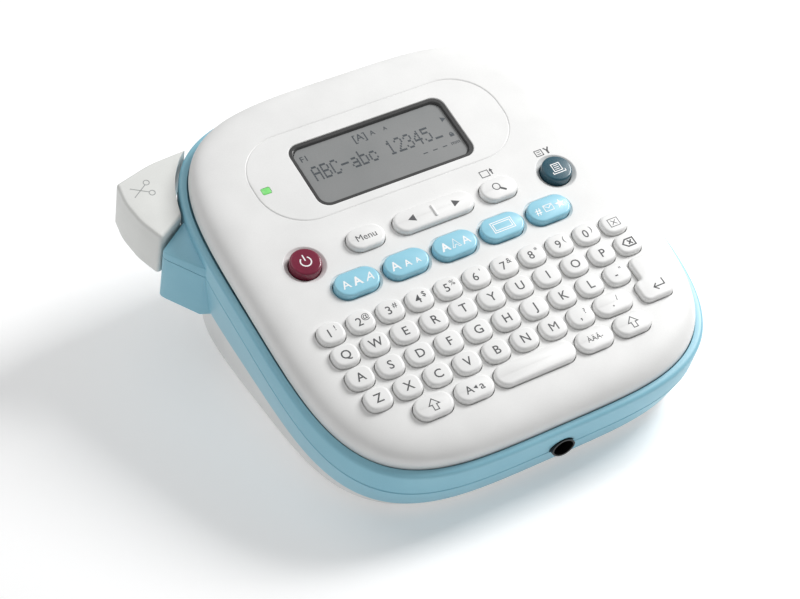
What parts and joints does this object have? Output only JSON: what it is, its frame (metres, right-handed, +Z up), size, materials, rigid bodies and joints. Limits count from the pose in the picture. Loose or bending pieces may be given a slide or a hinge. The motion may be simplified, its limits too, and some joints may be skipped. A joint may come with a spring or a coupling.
{
  "type": "label maker",
  "caption": "Desktop label maker with a sloping key panel, grey display, side cutter lever and a tape cassette bay under a lift-off back cover.",
  "frame": {"origin": "on the table, below the middle of the bounding box", "axes": "+Z up, -Y towards the person using it, +X to their right"},
  "size_m": [0.1555, 0.1488, 0.0675],
  "materials": {
    "white_abs": "fine-textured white ABS",
    "grey_white_abs": "satin pale grey ABS",
    "blue_abs": "satin light blue ABS",
    "maroon_abs": "satin maroon ABS",
    "petrol_abs": "satin dark petrol ABS",
    "key_abs": "satin white ABS with printed legends",
    "dark_rubber": "matt black rubber",
    "silicone": "translucent silicone",
    "display_lens": "clear acrylic with a dark printed border",
    "display_glass": "grey reflective liquid crystal",
    "light_pipe": "green light pipe",
    "board_laminate": "green circuit board",
    "frame_abs": "dark grey ABS",
    "black_abs": "black moulding",
    "battery_sleeve": "printed battery sleeve",
    "steel": "plain steel",
    "aluminium": "plain aluminium",
    "brass": "machined brass",
    "nylon": "natural nylon",
    "cassette_plastic": "grey cassette moulding",
    "tape_film": "wound polyester tape"
  },
  "bodies": {
    "case": {"top_cover": "white_abs", "upper_case": "blue_abs", "lower_case": "blue_abs", "display_window": "display_lens", "display_module": "display_glass", "status_light": "light_pipe", "keypad_sheet": "silicone", "main_board": "board_laminate", "chassis": "frame_abs", "print_head": "aluminium", "feed_motor": "steel", "cassette_case": "cassette_plastic", "cassette_lid": "cassette_plastic", "battery_1": "battery_sleeve", "battery_2": "battery_sleeve", "battery_3": "battery_sleeve", "battery_4": "battery_sleeve", "battery_5": "battery_sleeve", "battery_6": "battery_sleeve", "battery_contact_left": "steel", "battery_contact_right": "steel", "dc_jack": "black_abs", "lever_spring": "steel"},
    "cover": {"back_cover": "white_abs", "foot_front_left": "dark_rubber", "foot_front_right": "dark_rubber", "foot_back_left": "dark_rubber", "foot_back_right": "dark_rubber"},
    "latch": {"cover_latch": "white_abs"},
    "cutter": {"cutter_lever": "grey_white_abs", "lever_pin": "steel", "cutter_blade": "steel"},
    "platen": {"platen_gear": "nylon", "platen_roller": "dark_rubber"},
    "idler": {"idler_gear": "nylon"},
    "pinion": {"motor_pinion": "brass"},
    "tape_reel": {"tape_spool": "tape_film"},
    "ribbon_reel": {"ribbon_spool": "tape_film"},
    "rocker": {"cursor_key": "key_abs"},
    "digit_keys_cap": {"digit_keys": "key_abs"},
    "upper_letter_keys_cap": {"upper_letter_keys": "key_abs"},
    "middle_letter_keys_cap": {"middle_letter_keys": "key_abs"},
    "lower_letter_keys_cap": {"lower_letter_keys": "key_abs"},
    "power_button_cap": {"power_button": "maroon_abs"},
    "print_button_cap": {"print_button": "petrol_abs"},
    "menu_key_cap": {"menu_key": "key_abs"},
    "preview_key_cap": {"preview_key": "key_abs"},
    "cancel_key_cap": {"cancel_key": "key_abs"},
    "backspace_key_cap": {"backspace_key": "key_abs"},
    "enter_key_cap": {"enter_key": "key_abs"},
    "left_shift_key_cap": {"left_shift_key": "key_abs"},
    "caps_key_cap": {"caps_key": "key_abs"},
    "space_bar_cap": {"space_bar": "key_abs"},
    "accent_key_cap": {"accent_key": "key_abs"},
    "right_shift_key_cap": {"right_shift_key": "key_abs"},
    "font_key_cap": {"font_key": "blue_abs"},
    "text_size_key_cap": {"text_size_key": "blue_abs"},
    "text_style_key_cap": {"text_style_key": "blue_abs"},
    "frame_key_cap": {"frame_key": "blue_abs"},
    "symbol_key_cap": {"symbol_key": "blue_abs"}
  },
  "joints": [
    {"name": "digit_keys_press", "type": "slide", "parent": "case", "child": "digit_keys_cap", "axis": [0, 0.2807, -0.9598], "range_m": [0, 0.001], "stiffness_N_per_m": 600},
    {"name": "upper_letter_keys_press", "type": "slide", "parent": "case", "child": "upper_letter_keys_cap", "axis": [0, 0.2807, -0.9598], "range_m": [0, 0.001], "stiffness_N_per_m": 600},
    {"name": "middle_letter_keys_press", "type": "slide", "parent": "case", "child": "middle_letter_keys_cap", "axis": [0, 0.2807, -0.9598], "range_m": [0, 0.001], "stiffness_N_per_m": 600},
    {"name": "lower_letter_keys_press", "type": "slide", "parent": "case", "child": "lower_letter_keys_cap", "axis": [0, 0.2807, -0.9598], "range_m": [0, 0.001], "stiffness_N_per_m": 600},
    {"name": "power_button_press", "type": "slide", "parent": "case", "child": "power_button_cap", "axis": [0, 0.2807, -0.9598], "range_m": [0, 0.001], "stiffness_N_per_m": 300},
    {"name": "print_button_press", "type": "slide", "parent": "case", "child": "print_button_cap", "axis": [0, 0.2807, -0.9598], "range_m": [0, 0.001], "stiffness_N_per_m": 300},
    {"name": "menu_key_press", "type": "slide", "parent": "case", "child": "menu_key_cap", "axis": [0, 0.2807, -0.9598], "range_m": [0, 0.001], "stiffness_N_per_m": 300},
    {"name": "preview_key_press", "type": "slide", "parent": "case", "child": "preview_key_cap", "axis": [0, 0.2807, -0.9598], "range_m": [0, 0.001], "stiffness_N_per_m": 300},
    {"name": "cancel_key_press", "type": "slide", "parent": "case", "child": "cancel_key_cap", "axis": [0, 0.2807, -0.9598], "range_m": [0, 0.001], "stiffness_N_per_m": 300},
    {"name": "backspace_key_press", "type": "slide", "parent": "case", "child": "backspace_key_cap", "axis": [0, 0.2807, -0.9598], "range_m": [0, 0.001], "stiffness_N_per_m": 300},
    {"name": "enter_key_press", "type": "slide", "parent": "case", "child": "enter_key_cap", "axis": [0, 0.2807, -0.9598], "range_m": [0, 0.001], "stiffness_N_per_m": 300},
    {"name": "left_shift_key_press", "type": "slide", "parent": "case", "child": "left_shift_key_cap", "axis": [0, 0.2807, -0.9598], "range_m": [0, 0.001], "stiffness_N_per_m": 300},
    {"name": "caps_key_press", "type": "slide", "parent": "case", "child": "caps_key_cap", "axis": [0, 0.2807, -0.9598], "range_m": [0, 0.001], "stiffness_N_per_m": 300},
    {"name": "space_bar_press", "type": "slide", "parent": "case", "child": "space_bar_cap", "axis": [0, 0.2807, -0.9598], "range_m": [0, 0.001], "stiffness_N_per_m": 300},
    {"name": "accent_key_press", "type": "slide", "parent": "case", "child": "accent_key_cap", "axis": [0, 0.2807, -0.9598], "range_m": [0, 0.001], "stiffness_N_per_m": 300},
    {"name": "right_shift_key_press", "type": "slide", "parent": "case", "child": "right_shift_key_cap", "axis": [0, 0.2807, -0.9598], "range_m": [0, 0.001], "stiffness_N_per_m": 300},
    {"name": "font_key_press", "type": "slide", "parent": "case", "child": "font_key_cap", "axis": [0, 0.2807, -0.9598], "range_m": [0, 0.001], "stiffness_N_per_m": 300},
    {"name": "text_size_key_press", "type": "slide", "parent": "case", "child": "text_size_key_cap", "axis": [0, 0.2807, -0.9598], "range_m": [0, 0.001], "stiffness_N_per_m": 300},
    {"name": "text_style_key_press", "type": "slide", "parent": "case", "child": "text_style_key_cap", "axis": [0, 0.2807, -0.9598], "range_m": [0, 0.001], "stiffness_N_per_m": 300},
    {"name": "frame_key_press", "type": "slide", "parent": "case", "child": "frame_key_cap", "axis": [0, 0.2807, -0.9598], "range_m": [0, 0.001], "stiffness_N_per_m": 300},
    {"name": "symbol_key_press", "type": "slide", "parent": "case", "child": "symbol_key_cap", "axis": [0, 0.2807, -0.9598], "range_m": [0, 0.001], "stiffness_N_per_m": 300},
    {"name": "cursor_key_rock", "type": "hinge", "parent": "case", "child": "rocker", "pos_m": [0.0069, 0.00502, 0.04699], "axis": [0, 0.9598, 0.2807], "range_deg": [-3.5, 3.5], "stiffness_Nm_per_rad": 0.12},
    {"name": "cutter_lever_press", "type": "hinge", "parent": "case", "child": "cutter", "pos_m": [-0.063, 0.04763, 0.04237], "axis": [-1, 0, 0], "range_deg": [0, 10], "stiffness_Nm_per_rad": 0.6, "springref_deg": -5.73},
    {"name": "back_cover_lift", "type": "slide", "parent": "case", "child": "cover", "axis": [0, 0, -1], "range_m": [0, 0.03]},
    {"name": "cover_latch_press", "type": "slide", "parent": "cover", "child": "latch", "axis": [0, -1, 0], "range_m": [0, 0.0015], "stiffness_N_per_m": 400},
    {"name": "platen_spin", "type": "hinge", "parent": "case", "child": "platen", "pos_m": [-0.0434, 0.04406, 0.04174], "axis": [0, -0.2807, 0.9598], "continuous": true},
    {"name": "idler_spin", "type": "hinge", "parent": "case", "child": "idler", "pos_m": [-0.02825, 0.05368, 0.04664], "axis": [0, -0.2807, 0.9598], "continuous": true},
    {"name": "pinion_spin", "type": "hinge", "parent": "case", "child": "pinion", "pos_m": [-0.01387, 0.04866, 0.04517], "axis": [0, -0.2807, 0.9598], "continuous": true},
    {"name": "tape_reel_spin", "type": "hinge", "parent": "case", "child": "tape_reel", "pos_m": [-0.0169, 0.02602, 0.02646], "axis": [0, -0.2807, 0.9598], "continuous": true},
    {"name": "ribbon_reel_spin", "type": "hinge", "parent": "case", "child": "ribbon_reel", "pos_m": [0.0151, 0.0289, 0.02731], "axis": [0, -0.2807, 0.9598], "continuous": true}
  ],
  "couplings": [
    {"joint": "platen_spin", "follows": "tape_reel_spin", "ratio": -4.1},
    {"joint": "idler_spin", "follows": "tape_reel_spin", "ratio": 3.1538},
    {"joint": "pinion_spin", "follows": "tape_reel_spin", "ratio": -6.8333},
    {"joint": "ribbon_reel_spin", "follows": "tape_reel_spin", "ratio": 1.4909}
  ]
}
